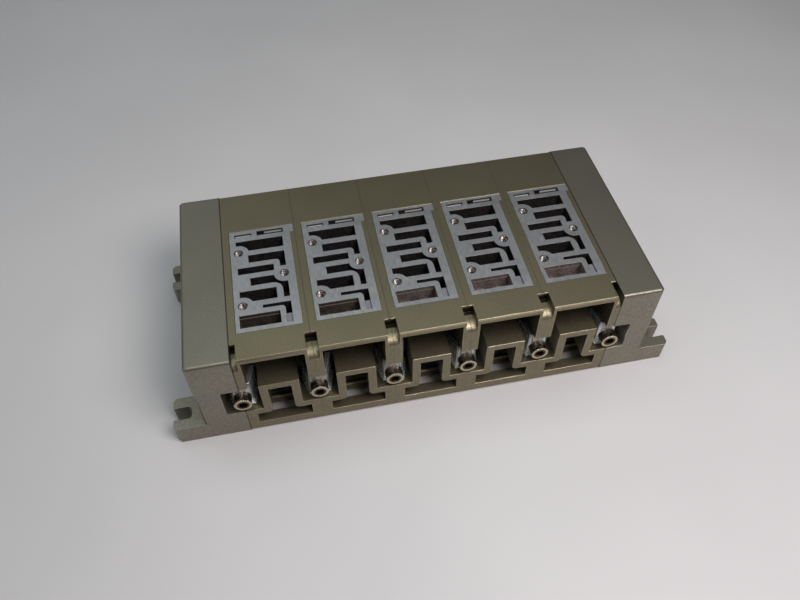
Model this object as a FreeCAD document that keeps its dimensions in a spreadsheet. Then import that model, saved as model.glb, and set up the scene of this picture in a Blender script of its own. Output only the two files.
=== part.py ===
import FreeCAD, Part
import math
import os
import re
from collections import namedtuple

import Sketcher

# Five-station stacking manifold base of a valve island, valves taken off.
# Row frame: X runs along the stations, Y from the clamp side to the back, Z up from
# the feet. The origin is in the middle of the row, on the surface it is bolted to.

SIZES = [
    # the row
    ("stations", 5, "valve stations in the row"),
    ("pitch", 37, "width of one station block"),
    ("end_thickness", 21, "width of an end plate without its feet"),
    ("depth", 109, "end plates, front to back"),
    ("height", 60, "feet's underside to the blocks' top"),
    ("floor_gap", 1, "air under the blocks"),
    ("back_inset", 0.6, "how far the blocks stop short of the end plates' back"),
    ("casting_edge", 0.8, "bevel of the blocks' long top edges"),
    ("end_edge", 1.5, "rounding of the end plates' top edges, bevel of their upright ones"),
    # feet
    ("foot_reach", 15, "how far a foot stands out of its end plate"),
    ("foot_width", 18, "foot, along the depth"),
    ("foot_thickness", 12, "foot, from the floor up"),
    ("foot_slot_width", 6.7, "open slot for an M6 bolt"),
    ("foot_slot_length", 8.9, "open slot, from the foot's tip inwards"),
    ("foot_bevel", 1.5, "bevel of the foot's corners"),
    ("foot_round", 2, "rounded corners of the slot's blind end"),
    # open front of a block
    ("side_wall", 4, "wall of a block beside the seam"),
    ("roof_thickness", 2.5, "roof over the front recess"),
    ("recess_depth", 16, "front recess and clamp wells, from the front face"),
    ("frame_top", 37.6, "top of the hollow frame between two clamps"),
    ("lower_slot_inset", 5, "ends of the lower slot, from the seams"),
    ("rail_top", 6.3, "front rail and cross rib, top face"),
    ("lower_slot_top", 14, "lower slot, top edge"),
    ("window_inset", 12.9, "sides of the window, from the seams"),
    ("window_top", 33.9, "window, top edge"),
    ("window_bevel", 1.5, "bevelled corners where window and lower slot meet"),
    ("rail_depth", 5.5, "front rail, front to back"),
    ("rib_front", 13, "cross rib of the underside, front face"),
    ("rib_thickness", 2.5, "cross rib of the underside"),
    ("cavity_depth", 29, "cavity behind window and slot, from the front face"),
    ("underside_core", 4, "depth of the shallow core under the block"),
    ("underside_rim", 4, "metal left before and behind that core"),
    # notch in the roof at each seam
    ("roof_slot_half", 2.75, "half the notch, on each side of the seam"),
    ("roof_slot_length", 9.9, "notch, from the front face"),
    ("roof_slot_floor", 4.6, "notch, depth of its floor"),
    ("shoulder_start", 5.2, "where the notch's floor starts to roll down"),
    ("shoulder_round", 6.1, "radius of that roll"),
    # seam clamps
    ("clamp_floor", 18, "floor of the clamp wells"),
    ("well_half", 9, "clamp well, from the seam sideways"),
    ("end_well_top", 36.7, "top of the clamp wells in an end plate"),
    ("lug_front", 6.5, "narrow end of the wedge lugs, from the front or back face"),
    ("lug_tip_half", 3.3, "half a lug pair at its narrow end"),
    ("lug_root_half", 6, "half a lug pair at its root"),
    ("clamp_web_front", 4, "outer face of the front clamp's web, from the front face"),
    ("clamp_thickness", 2, "the clamps' legs and the front clamp's web"),
    ("threaded_web", 4.5, "the rear clamp's web, which takes the screw's thread"),
    ("clamp_reach", 14.6, "ends of the clamps' legs, from the front or back face"),
    ("clamp_height", 17, "clamp, bottom to top"),
    ("clamp_lift", 0.4, "gap between clamp and well floor"),
    ("clamp_bevel", 0.9, "bevel where a clamp's legs leave its web"),
    ("clamp_foot_height", 1.2, "flange round a clamp's lower edge, bottom to top"),
    ("clamp_foot_reach", 0.8, "how far that flange stands out"),
    ("screw_rise", 7.5, "screw's axis above the well floor"),
    ("screw_diameter", 5, "M5 clamp screw"),
    ("screw_tip_inset", 3, "screw's tip, from the back face"),
    ("head_diameter", 8.5, "socket head"),
    ("head_height", 5, "socket head"),
    ("socket_width", 4, "hexagon socket, across flats"),
    ("socket_depth", 2.6, "hexagon socket"),
    ("screw_clearance", 0.25, "round the screw in clamp and lugs"),
    ("thread_clearance", 0.05, "round the screw in the rear clamp's thread"),
    # machined valve face
    ("face_cut", 0.3, "how far the valve face is milled down"),
    ("face_left", 3.7, "valve face, left edge"),
    ("face_right", 34.5, "valve face, right edge"),
    ("face_front", 15.6, "valve face, front edge"),
    ("face_back", 80.8, "valve face, back edge"),
    ("face_tab_right", 36.4, "tab at the face's back right corner"),
    ("face_tab_front", 75.5, "front edge of that tab"),
    ("port_depth", 9, "depth of the port pattern"),
    ("port_left", 6.8, "left end of exhaust and supply ports"),
    ("port_right", 30.4, "right end of the long ports"),
    ("port_inset_left", 12.4, "left end of the working ports"),
    ("port_mid_right", 24.4, "right end of the short ports"),
    ("port_leg_left", 27.5, "left side of the ports' legs"),
    ("rear_exhaust_front", 66.6, "rear exhaust port"),
    ("rear_exhaust_back", 73.5, "rear exhaust port"),
    ("port_two_front", 58.4, "working port 2"),
    ("port_two_back", 63.4, "working port 2"),
    ("port_two_leg", 53.4, "front end of its leg"),
    ("supply_front", 51.2, "supply port"),
    ("supply_back", 55.4, "supply port"),
    ("port_four_front", 43.3, "working port 4"),
    ("port_four_back", 48.1, "working port 4"),
    ("port_four_leg", 33.4, "front end of its leg"),
    ("front_exhaust_front", 33.5, "front exhaust port"),
    ("front_exhaust_back", 40.2, "front exhaust port"),
    ("pilot_front", 28.5, "pilot port"),
    ("pilot_back", 30.4, "pilot port"),
    ("pilot_left", 17.1, "pilot port"),
    ("pilot_leg", 24, "front end of its leg"),
    ("pilot_relief", 17.9, "front end of the shallow relief in line with the leg"),
    ("pilot_relief_depth", 1.2, "that relief"),
    ("vent_front", 18.3, "pilot exhaust port"),
    ("vent_back", 25.6, "pilot exhaust port"),
    ("vent_left", 5.8, "pilot exhaust port"),
    ("vent_right", 24.9, "pilot exhaust port"),
    ("port_round", 2, "inner corners of the legs"),
    ("port_sweep", 4.6, "wide inner corner of working port 4's leg"),
    ("port_corner", 0.9, "bevelled corner of the front exhaust port"),
    ("key_slot_left", 6.6, "shallow key slot at the face's back"),
    ("key_slot_right", 14.8, "shallow key slot"),
    ("key_slot_front", 76.6, "shallow key slot"),
    ("key_slot_back", 78.3, "shallow key slot"),
    ("key_slot_depth", 0.8, "shallow key slot"),
    ("signal_slot_left", 17.9, "signal slot at the face's back"),
    ("signal_slot_right", 31, "signal slot"),
    ("signal_slot_front", 76.7, "signal slot"),
    ("signal_slot_back", 79.2, "signal slot"),
    ("signal_slot_depth", 4, "signal slot"),
    ("face_screw_left", 7.8, "the two valve screws on the left"),
    ("face_screw_right", 29.1, "the valve screw on the right"),
    ("face_screw_back", 65.5, "rear valve screw"),
    ("face_screw_middle", 48.4, "right valve screw"),
    ("face_screw_front", 31.4, "front valve screw"),
    ("face_screw_bore", 4.2, "tapping size of M5"),
    ("face_screw_depth", 8.5, "depth of the tapped holes"),
    ("face_screw_boss", 5.2, "metal kept round a tapped hole, radius"),
    # air passages
    ("gallery_floor", 34, "supply and exhaust galleries, bottom"),
    ("gallery_cover", 13, "supply and exhaust galleries, top, below the valve side"),
    ("gallery_margin", 1, "how far a gallery is wider than its port, each side"),
    ("pilot_cover", 16, "axis of the two pilot galleries, below the valve side"),
    ("pilot_bore", 4.2, "pilot galleries and their ports, tapping size of M5"),
    ("vent_axis", 21, "axis of the pilot exhaust gallery, from the front face"),
    ("duct_two_left", 19, "left side of the duct under working port 2"),
    ("duct_four_right", 17.5, "right side of the duct under working port 4"),
    ("duct_vent_left", 13, "left side of the duct under the pilot exhaust port"),
    ("duct_vent_right", 18, "right side of that duct"),
    ("passage_height", 10.5, "axis of the working passages"),
    ("passage_thick", 6, "working passages, bottom to top"),
    ("passage_outer", 5, "outer side of a working passage, from the seam"),
    ("passage_inner", 14.2, "inner side of a working passage, from the seam"),
    ("cylinder_port_inset", 9.25, "cylinder port's axis, from the seam"),
    ("cylinder_port_bore", 11.8, "tapping size of G1/4"),
    ("cylinder_port_depth", 13, "depth of the cylinder port"),
    ("supply_port_bore", 11.8, "tapping size of G1/4 in the end plates"),
    ("supply_port_depth", 13, "depth of the end plates' ports"),
    ("pilot_port_depth", 9, "depth of the pilot ports in the left end plate"),
    ("exhaust_port_height", 38, "axis of the exhaust ports in the end plates"),
    ("supply_port_cover", 17, "axis of the supply port in the end plates, below their top"),
    # seam gasket
    ("gasket_thickness", 1.5, "gasket and its seat"),
    ("gasket_clearance", 0.2, "round the gasket in its seat"),
    ("gasket_front", 27.4, "gasket's main field, front edge"),
    ("gasket_back", 78, "gasket's main field, back edge"),
    ("gasket_rim", 3, "gasket's main field, lower edge, below the galleries"),
    ("gasket_cover", 9, "gasket, upper edge, below the valve side"),
    ("gasket_nose_front", 17.3, "gasket's nose round the pilot exhaust gallery"),
    ("gasket_nose_drop", 5.5, "lower edge of that nose, below the pilot galleries' axis"),
]

doc = FreeCAD.newDocument("ManifoldBase")
sheet = doc.addObject("Spreadsheet::Sheet", "Sizes")
for line, (alias, number, note) in enumerate(SIZES, start=1):
    sheet.set(f"A{line}", note)
    sheet.set(f"B{line}", str(number))
    sheet.setAlias(f"B{line}", alias)
doc.recompute()

FUNCTIONS = ("sqrt",)
TINY = 1e-9


def bound(text):
    """Turns words such as 'pitch - side_wall' into an expression on the sheet."""
    return re.sub(r"[a-z][a-z_]+", lambda m: m[0] if m[0] in FUNCTIONS else "Sizes." + m[0], text)


def size(text):
    """The number that an expression on the sheet gives now."""
    return float(sheet.evalExpression(bound(text)))


# Sketch helpers. A point is a pair of expressions, so every sketch follows the sheet.

Corner = namedtuple("Corner", "x y round", defaults=[None])
Around = namedtuple("Around", "x y radius")


def new_sketch(body, role, name, offset="0"):
    """A sketch on one of the body's own planes, moved along the plane's normal."""
    plane = next(item for item in body.Origin.OriginFeatures if item.Role == role)
    sketch = body.newObject("Sketcher::SketchObject", name)
    sketch.AttachmentSupport = [(plane, "")]
    sketch.MapMode = "FlatFace"
    sketch.setExpression("AttachmentOffset.Base.z", bound(offset))
    return sketch


def hold(sketch, geometry, end, x, y):
    """Ties one end of a sketch element to the place (x, y)."""
    for kind, axis, text in (("DistanceX", -2, x), ("DistanceY", -1, y)):
        number = size(text)
        if abs(number) < TINY:
            sketch.addConstraint(Sketcher.Constraint("PointOnObject", geometry, end, axis))
            continue
        if number > 0:
            tie = Sketcher.Constraint(kind, -1, 1, geometry, end, number)
        else:
            tie = Sketcher.Constraint(kind, geometry, end, -1, 1, -number)
            text = f"-({text})"
        sketch.setExpression(f"Constraints[{sketch.addConstraint(tie)}]", bound(text))


def hold_radius(sketch, geometry, radius):
    """Ties a circle's or an arc's radius to the sheet."""
    tie = Sketcher.Constraint("Radius", geometry, size(radius))
    sketch.setExpression(f"Constraints[{sketch.addConstraint(tie)}]", bound(radius))


def step_towards(corner, neighbour):
    """The point one rounding radius from a corner along a level or upright side."""
    across = size(neighbour.x) - size(corner.x)
    along = size(neighbour.y) - size(corner.y)
    if abs(along) < TINY:
        sign = "+" if across > 0 else "-"
        return f"{corner.x} {sign} ({corner.round})", corner.y
    sign = "+" if along > 0 else "-"
    return corner.x, f"{corner.y} {sign} ({corner.round})"


def outline_path(corners):
    """Points of an outline, and for each the circle that leads on to the next one."""
    points = []
    for place, corner in enumerate(corners):
        if isinstance(corner, Around):
            points[-1][1] = corner
        elif corner.round is None:
            points.append([(corner.x, corner.y), None])
        else:
            before = step_towards(corner, corners[place - 1])
            after = step_towards(corner, corners[(place + 1) % len(corners)])
            level = before if before[1] == corner.y else after
            upright = after if level is before else before
            points.append([before, Around(level[0], upright[1], corner.round)])
            points.append([after, None])
    return points


def draw_outline(sketch, corners):
    """Draws a closed outline. An Around between two corners joins them by an arc."""
    path = outline_path(corners)
    ends = [FreeCAD.Vector(size(x), size(y), 0) for (x, y), _ in path]
    first = sketch.GeometryCount
    starts = []
    for place, ((_, circle), start) in enumerate(zip(path, ends)):
        stop = ends[(place + 1) % len(ends)]
        if circle is None:
            sketch.addGeometry(Part.LineSegment(start, stop))
            starts.append((1, 2))
            continue
        centre = FreeCAD.Vector(size(circle.x), size(circle.y), 0)
        turn = (start - centre).cross(stop - centre).z
        from_point, to_point = (start, stop) if turn > 0 else (stop, start)
        low = math.atan2(from_point.y - centre.y, from_point.x - centre.x)
        high = math.atan2(to_point.y - centre.y, to_point.x - centre.x)
        ring = Part.Circle(centre, FreeCAD.Vector(0, 0, 1), size(circle.radius))
        sketch.addGeometry(Part.ArcOfCircle(ring, low, high if high > low else high + 2 * math.pi))
        starts.append((1, 2) if turn > 0 else (2, 1))
    for place, ((x, y), circle) in enumerate(path):
        nxt = (place + 1) % len(path)
        joint = (first + place, starts[place][1], first + nxt, starts[nxt][0])
        sketch.addConstraint(Sketcher.Constraint("Coincident", *joint))
        hold(sketch, first + place, starts[place][0], x, y)
        if circle is not None:
            hold_radius(sketch, first + place, circle.radius)


def draw_box(sketch, left, bottom, right, top):
    """Draws an upright rectangle."""
    places = ((left, bottom), (right, bottom), (right, top), (left, top))
    draw_outline(sketch, [Corner(x, y) for x, y in places])


def draw_circle(sketch, x, y, diameter):
    """Draws a circle."""
    centre = FreeCAD.Vector(size(x), size(y), 0)
    ring = Part.Circle(centre, FreeCAD.Vector(0, 0, 1), size(diameter) / 2)
    geometry = sketch.addGeometry(ring)
    hold(sketch, geometry, 3, x, y)
    hold_radius(sketch, geometry, f"({diameter}) / 2")


def extrude(body, kind, name, sketch, length, flip=False):
    """Adds a Pad or a Pocket of a sketch."""
    feature = body.newObject(f"PartDesign::{kind}", name)
    feature.Profile = sketch
    feature.setExpression("Length", bound(length))
    feature.Reversed = flip
    return feature


def repeat_at_other_side(body, feature, name, width, feature_depth):
    """Repeats a cut made from the left face so that it also starts at the right face."""
    axis = next(item for item in body.Origin.OriginFeatures if item.Role == "X_Axis")
    pattern = body.newObject("PartDesign::LinearPattern", name)
    pattern.Originals = [feature]
    pattern.Direction = (axis, [""])
    pattern.setExpression("Length", bound(f"{width} - ({feature_depth})"))
    pattern.Occurrences = 2
    body.Tip = pattern


def dress_edges(body, kind, name, amount, wanted):
    """A Fillet or a Chamfer on those edges of the body so far whose middle passes a test."""
    doc.recompute()
    names = []
    for number, edge in enumerate(body.Tip.Shape.Edges, start=1):
        if wanted(edge.valueAt((edge.FirstParameter + edge.LastParameter) / 2)):
            names.append(f"Edge{number}")
    dressing = body.newObject(f"PartDesign::{kind}", name)
    dressing.Base = (dressing.BaseFeature, names)
    dressing.setExpression("Radius" if kind == "Fillet" else "Size", bound(amount))


def new_body(label):
    """An empty body whose label names its file."""
    body = doc.addObject("PartDesign::Body", label)
    body.Label = label
    return body


def clone(master, label):
    """Another piece from the same mould: a body that follows the first one."""
    body = new_body(label)
    copy = doc.addObject("PartDesign::FeatureBase", f"{label}_copy")
    copy.BaseFeature = master
    body.Group = [copy]
    body.Tip = copy
    return body


def place(item, x, y, z):
    """Puts a sub-part at a place of the row, each coordinate an expression."""
    for axis, text in zip("xyz", (x, y, z)):
        item.setExpression(f"Placement.Base.{axis}", bound(text))


def place_in_well(item, seam, at_rear):
    """Puts a clamp into the front well of a seam, or turned round into the rear one."""
    if at_rear:
        item.Placement.Rotation = FreeCAD.Rotation(FreeCAD.Vector(0, 0, 1), 180)
    y = "depth / 2" if at_rear else FRONT
    place(item, seam_x(seam), y, "clamp_floor + clamp_lift")


FRONT = "0 - depth / 2"
GALLERY_ROOF = "height - gallery_cover"
PILOT_HEIGHT = "height - pilot_cover"
GASKET_TOP = "height - gasket_cover"
GASKET_NOSE = "height - pilot_cover - gasket_nose_drop"


def seam_x(seam):
    """The place of a seam, counted from 0 at the left end plate."""
    return f"({seam} - stations / 2) * pitch"


def from_front(distance):
    """A place measured from the front face."""
    return distance


def from_back(distance):
    """A place measured from the end plates' back, as a distance from their front."""
    return f"depth - ({distance})"


# Shapes that neighbours share, so that what seats in them fits.


def lug_half(distance):
    """Half the width of a lug pair at a distance behind the front face."""
    slope = "(lug_root_half - lug_tip_half) / (recess_depth - lug_front)"
    return f"lug_tip_half + ({distance} - lug_front) * {slope}"


def draw_clamp_well(sketch, across, inward):
    """Half a clamp well seen from above, round half of the wedge lugs."""
    corners = (
        ("0", "0"),
        ("well_half", "0"),
        ("well_half", "recess_depth"),
        ("lug_root_half", "recess_depth"),
        ("lug_tip_half", "lug_front"),
        ("0", "lug_front"),
    )
    draw_outline(sketch, [Corner(across(x), inward(y)) for x, y in corners])


def cut_clamp_wells(body, sides, top):
    """Wells at the front and at the back, beside each seam that the body has."""
    wells = new_sketch(body, "XY_Plane", "ClampWells", "clamp_floor")
    for across in sides:
        draw_clamp_well(wells, across, from_front)
        draw_clamp_well(wells, across, from_back)
    extrude(body, "Pocket", "ClampWellsCut", wells, f"{top} - clamp_floor", flip=True)


ROOM = "(screw_diameter / 2 + screw_clearance)"


def cut_screw_run(body, seams):
    """Half of each seam's run for its clamp screw, cast square from front to back."""
    run = new_sketch(body, "XZ_Plane", "ScrewRun")
    axis = "clamp_floor + screw_rise"
    for x in seams:
        draw_box(run, f"{x} - {ROOM}", f"{axis} - {ROOM}", f"{x} + {ROOM}", f"{axis} + {ROOM}")
    extrude(body, "Pocket", "ScrewRunCut", run, "depth")


def draw_galleries(sketch):
    """Supply and exhaust galleries seen along the row."""
    for port in ("front_exhaust", "supply", "rear_exhaust"):
        front = f"{port}_front - gallery_margin"
        back = f"{port}_back + gallery_margin"
        draw_box(sketch, front, "gallery_floor", back, GALLERY_ROOF)


PILOT_AXES = ("(pilot_front + pilot_back) / 2", "vent_axis")


def draw_pilot_galleries(sketch):
    """The two square cast pilot galleries seen along the row."""
    half = "pilot_bore / 2"
    low, high = f"{PILOT_HEIGHT} - {half}", f"{PILOT_HEIGHT} + {half}"
    for axis in PILOT_AXES:
        draw_box(sketch, f"{axis} - {half}", low, f"{axis} + {half}", high)


def draw_gasket(sketch, clearance):
    """The gasket's outer edge, drawn in by a clearance: a field with a nose at its front."""
    corners = (
        (f"gasket_front + {clearance}", f"gallery_floor - gasket_rim + {clearance}"),
        (f"gasket_back - {clearance}", f"gallery_floor - gasket_rim + {clearance}"),
        (f"gasket_back - {clearance}", f"{GASKET_TOP} - {clearance}"),
        (f"gasket_nose_front + {clearance}", f"{GASKET_TOP} - {clearance}"),
        (f"gasket_nose_front + {clearance}", f"{GASKET_NOSE} + {clearance}"),
        (f"gasket_front + {clearance}", f"{GASKET_NOSE} + {clearance}"),
    )
    draw_outline(sketch, [Corner(y, z) for y, z in corners])


# Station block: one die casting, machined on top and on its two seam faces.


def cut_open_front(body):
    """Recess under the roof, clamp wells and the window with its lower slot."""
    recess = new_sketch(body, "XZ_Plane", "FrontRecess")
    draw_box(recess, "side_wall", "frame_top", "pitch - side_wall", "height - roof_thickness")
    extrude(body, "Pocket", "FrontRecessCut", recess, "recess_depth")

    cut_clamp_wells(body, (lambda x: x, lambda x: f"pitch - ({x})"), "frame_top")

    window = new_sketch(body, "XZ_Plane", "Window")
    slot_left, slot_right = "lower_slot_inset", "pitch - lower_slot_inset"
    side_left, side_right = "window_inset", "pitch - window_inset"
    corners = [
        Corner(slot_left, "rail_top"),
        Corner(slot_right, "rail_top"),
        Corner(slot_right, "lower_slot_top"),
        Corner(f"{side_right} + window_bevel", "lower_slot_top"),
        Corner(side_right, "lower_slot_top + window_bevel"),
        Corner(side_right, "window_top"),
        Corner(side_left, "window_top"),
        Corner(side_left, "lower_slot_top + window_bevel"),
        Corner(f"{side_left} - window_bevel", "lower_slot_top"),
        Corner(slot_left, "lower_slot_top"),
    ]
    draw_outline(window, corners)
    extrude(body, "Pocket", "WindowCut", window, "cavity_depth")


def cut_underside(body):
    """Openings under the cavity, either side of the cross rib, and the shallow core."""
    openings = new_sketch(body, "XY_Plane", "UndersideOpenings", "floor_gap")
    left, right = "lower_slot_inset", "pitch - lower_slot_inset"
    draw_box(openings, left, "rail_depth", right, "rib_front")
    draw_box(openings, left, "rib_front + rib_thickness", right, "cavity_depth")
    extrude(body, "Pocket", "UndersideOpeningsCut", openings, "rail_top - floor_gap", flip=True)
    core = new_sketch(body, "XY_Plane", "UndersideCore", "floor_gap")
    front = "cavity_depth + underside_rim"
    back = "depth - back_inset - cylinder_port_depth - underside_rim"
    draw_box(core, "side_wall", front, "pitch - side_wall", back)
    extrude(body, "Pocket", "UndersideCoreCut", core, "underside_core", flip=True)


def cut_roof_notch(body):
    """Notch in the roof at each seam, with a floor that rolls down to the front."""
    notch = new_sketch(body, "YZ_Plane", "RoofNotch")
    floor = "height - roof_slot_floor"
    foot = f"{floor} - shoulder_round + sqrt(shoulder_round^2 - shoulder_start^2)"
    corners = [
        Corner("0", "height"),
        Corner("roof_slot_length", "height"),
        Corner("roof_slot_length", floor),
        Corner("shoulder_start", floor),
        Around("shoulder_start", f"{floor} - shoulder_round", "shoulder_round"),
        Corner("0", foot),
    ]
    draw_outline(notch, corners)
    cut = extrude(body, "Pocket", "RoofNotchCut", notch, "roof_slot_half", flip=True)
    repeat_at_other_side(body, cut, "RoofNotches", "pitch", "roof_slot_half")


def beside_boss(x, y, edge, side):
    """Where a level edge meets the round boss of the tapped hole at (x, y)."""
    return f"{x} {side} sqrt(face_screw_boss^2 - ({edge} - {y})^2)"


def cut_port_pattern(body):
    """The milled valve face and the ports in it, back to front."""
    face = new_sketch(body, "XY_Plane", "ValveFace", "height")
    corners = [
        Corner("face_left", "face_front"),
        Corner("face_right", "face_front"),
        Corner("face_right", "face_tab_front"),
        Corner("face_tab_right", "face_tab_front"),
        Corner("face_tab_right", "face_back"),
        Corner("face_left", "face_back"),
    ]
    draw_outline(face, corners)
    extrude(body, "Pocket", "ValveFaceCut", face, "face_cut")

    ports = new_sketch(body, "XY_Plane", "Ports", "height")
    hole_x, hole_y = "face_screw_left", "face_screw_back"
    rear_exhaust = [
        Corner("port_left", "rear_exhaust_back"),
        Corner("port_right", "rear_exhaust_back"),
        Corner("port_right", "rear_exhaust_front"),
        Corner(beside_boss(hole_x, hole_y, "rear_exhaust_front", "+"), "rear_exhaust_front"),
        Around(hole_x, hole_y, "face_screw_boss"),
        Corner("port_left", f"{hole_y} + sqrt(face_screw_boss^2 - ({hole_x} - port_left)^2)"),
    ]
    port_two = [
        Corner("port_inset_left", "port_two_back"),
        Corner("port_right", "port_two_back"),
        Corner("port_right", "port_two_leg"),
        Corner("port_leg_left", "port_two_leg"),
        Corner("port_leg_left", "port_two_front", "port_round"),
        Corner("port_inset_left", "port_two_front"),
    ]
    hole_x, hole_y = "face_screw_right", "face_screw_middle"
    port_four = [
        Corner("port_inset_left", "port_four_back"),
        Corner(beside_boss(hole_x, hole_y, "port_four_back", "-"), "port_four_back"),
        Around(hole_x, hole_y, "face_screw_boss"),
        Corner("port_right", f"{hole_y} - sqrt(face_screw_boss^2 - (port_right - {hole_x})^2)"),
        Corner("port_right", "port_four_leg"),
        Corner("port_leg_left", "port_four_leg"),
        Corner("port_leg_left", "port_four_front", "port_sweep"),
        Corner("port_inset_left", "port_four_front"),
    ]
    hole_x, hole_y = "face_screw_left", "face_screw_front"
    front_exhaust = [
        Corner("port_left", "front_exhaust_back"),
        Corner("port_mid_right - port_corner", "front_exhaust_back"),
        Corner("port_mid_right", "front_exhaust_back - port_corner"),
        Corner("port_mid_right", "front_exhaust_front"),
        Corner(beside_boss(hole_x, hole_y, "front_exhaust_front", "+"), "front_exhaust_front"),
        Around(hole_x, hole_y, "face_screw_boss"),
        Corner("port_left", f"{hole_y} + sqrt(face_screw_boss^2 - ({hole_x} - port_left)^2)"),
    ]
    pilot = [
        Corner("pilot_left", "pilot_back"),
        Corner("port_right", "pilot_back"),
        Corner("port_right", "pilot_leg"),
        Corner("port_leg_left", "pilot_leg"),
        Corner("port_leg_left", "pilot_front", "port_round"),
        Corner("pilot_left", "pilot_front"),
    ]
    for port in (rear_exhaust, port_two, port_four, front_exhaust, pilot):
        draw_outline(ports, port)
    draw_box(ports, "port_left", "supply_front", "port_mid_right", "supply_back")
    draw_box(ports, "vent_left", "vent_front", "vent_right", "vent_back")
    extrude(body, "Pocket", "PortsCut", ports, "port_depth")

    relief = new_sketch(body, "XY_Plane", "PilotRelief", "height - face_cut")
    draw_box(relief, "port_leg_left", "pilot_relief", "port_right", "pilot_leg")
    extrude(body, "Pocket", "PilotReliefCut", relief, "pilot_relief_depth")
    key = new_sketch(body, "XY_Plane", "KeySlot", "height - face_cut")
    draw_box(key, "key_slot_left", "key_slot_front", "key_slot_right", "key_slot_back")
    extrude(body, "Pocket", "KeySlotCut", key, "key_slot_depth")
    signal = new_sketch(body, "XY_Plane", "SignalSlot", "height - face_cut")
    left, right = "signal_slot_left", "signal_slot_right"
    draw_box(signal, left, "signal_slot_front", right, "signal_slot_back")
    extrude(body, "Pocket", "SignalSlotCut", signal, "signal_slot_depth")


def tap_face(body):
    """Three tapped holes for the valve's screws."""
    points = new_sketch(body, "XY_Plane", "FaceScrews", "height - face_cut")
    draw_circle(points, "face_screw_left", "face_screw_back", "face_screw_bore")
    draw_circle(points, "face_screw_right", "face_screw_middle", "face_screw_bore")
    draw_circle(points, "face_screw_left", "face_screw_front", "face_screw_bore")
    doc.recompute()
    holes = body.newObject("PartDesign::Hole", "FaceScrewHoles")
    holes.Profile = points
    holes.DepthType = "Dimension"
    holes.DrillPoint = "Flat"
    holes.setExpression("Diameter", bound("face_screw_bore"))
    holes.setExpression("Depth", bound("face_screw_depth"))


def cut_air_passages(body):
    """Galleries along the row, ducts up to the face and passages to the back."""
    galleries = new_sketch(body, "YZ_Plane", "Galleries")
    draw_galleries(galleries)
    draw_pilot_galleries(galleries)
    extrude(body, "Pocket", "GalleriesCut", galleries, "pitch", flip=True)

    ducts = new_sketch(body, "XY_Plane", "GalleryDucts", "height")
    for port in ("front_exhaust", "supply", "rear_exhaust"):
        draw_box(ducts, "port_inset_left + 1", f"{port}_front", "port_mid_right", f"{port}_back")
    extrude(body, "Pocket", "GalleryDuctsCut", ducts, "gallery_cover + gallery_margin")

    ducts = new_sketch(body, "XY_Plane", "WorkingDucts", "height")
    leg = "port_leg_left - port_round"
    draw_box(ducts, "duct_two_left", "port_two_front", leg, "port_two_back")
    draw_box(ducts, "port_inset_left", "port_four_front", "duct_four_right", "port_four_back")
    extrude(body, "Pocket", "WorkingDuctsCut", ducts, "height - passage_height")

    ducts = new_sketch(body, "XY_Plane", "PilotDucts", "height")
    draw_box(ducts, "port_leg_left", "pilot_front", "port_right", "pilot_back")
    draw_box(ducts, "duct_vent_left", "vent_front", "duct_vent_right", "vent_back")
    extrude(body, "Pocket", "PilotDuctsCut", ducts, "pilot_cover")

    low = "passage_height - passage_thick / 2"
    high = "passage_height + passage_thick / 2"
    back = "0 - depth + back_inset"
    four = new_sketch(body, "XZ_Plane", "PassageFour", back)
    draw_box(four, "passage_outer", low, "passage_inner", high)
    reach = "depth - back_inset - port_four_front"
    extrude(body, "Pocket", "PassageFourCut", four, reach, flip=True)
    two = new_sketch(body, "XZ_Plane", "PassageTwo", back)
    draw_box(two, "pitch - passage_inner", low, "pitch - passage_outer", high)
    reach = "depth - back_inset - port_two_front"
    extrude(body, "Pocket", "PassageTwoCut", two, reach, flip=True)

    mouths = new_sketch(body, "XZ_Plane", "CylinderPorts", back)
    draw_circle(mouths, "cylinder_port_inset", "passage_height", "cylinder_port_bore")
    draw_circle(mouths, "pitch - cylinder_port_inset", "passage_height", "cylinder_port_bore")
    extrude(body, "Pocket", "CylinderPortsCut", mouths, "cylinder_port_depth", flip=True)


def station_block(label):
    """One station, its left seam face at x = 0."""
    body = new_body(label)
    plan = new_sketch(body, "XY_Plane", "Plan", "floor_gap")
    draw_box(plan, "0", "0", "pitch", "depth - back_inset")
    extrude(body, "Pad", "Casting", plan, "height - floor_gap")
    top, back = size("height"), size("depth - back_inset")

    def long_top_edge(point):
        return abs(point.z - top) < TINY and min(abs(point.y), abs(point.y - back)) < TINY

    dress_edges(body, "Chamfer", "TopEdges", "casting_edge", long_top_edge)
    cut_open_front(body)
    cut_underside(body)
    cut_roof_notch(body)
    cut_port_pattern(body)
    cut_air_passages(body)
    cut_screw_run(body, ("0", "pitch"))
    seat = new_sketch(body, "YZ_Plane", "GasketSeat")
    draw_gasket(seat, "0")
    extrude(body, "Pocket", "GasketSeatCut", seat, "gasket_thickness", flip=True)
    tap_face(body)
    return body


# End plates: solid castings with feet, closing the row and taking the air supply.


def draw_foot(sketch, across, inward):
    """A foot seen from above, with its open slot."""
    tip = "end_thickness + foot_reach"
    root = "end_thickness - end_edge"
    slot_end = f"{tip} - foot_slot_length"
    near = "(foot_width - foot_slot_width) / 2"
    far = "(foot_width + foot_slot_width) / 2"
    corners = (
        (root, "0", None),
        (f"{tip} - foot_bevel", "0", None),
        (tip, "foot_bevel", None),
        (tip, near, None),
        (slot_end, near, "foot_round"),
        (slot_end, far, "foot_round"),
        (tip, far, None),
        (tip, "foot_width - foot_bevel", None),
        (f"{tip} - foot_bevel", "foot_width", None),
        (root, "foot_width", None),
    )
    draw_outline(sketch, [Corner(across(x), inward(y), r) for x, y, r in corners])


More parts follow.
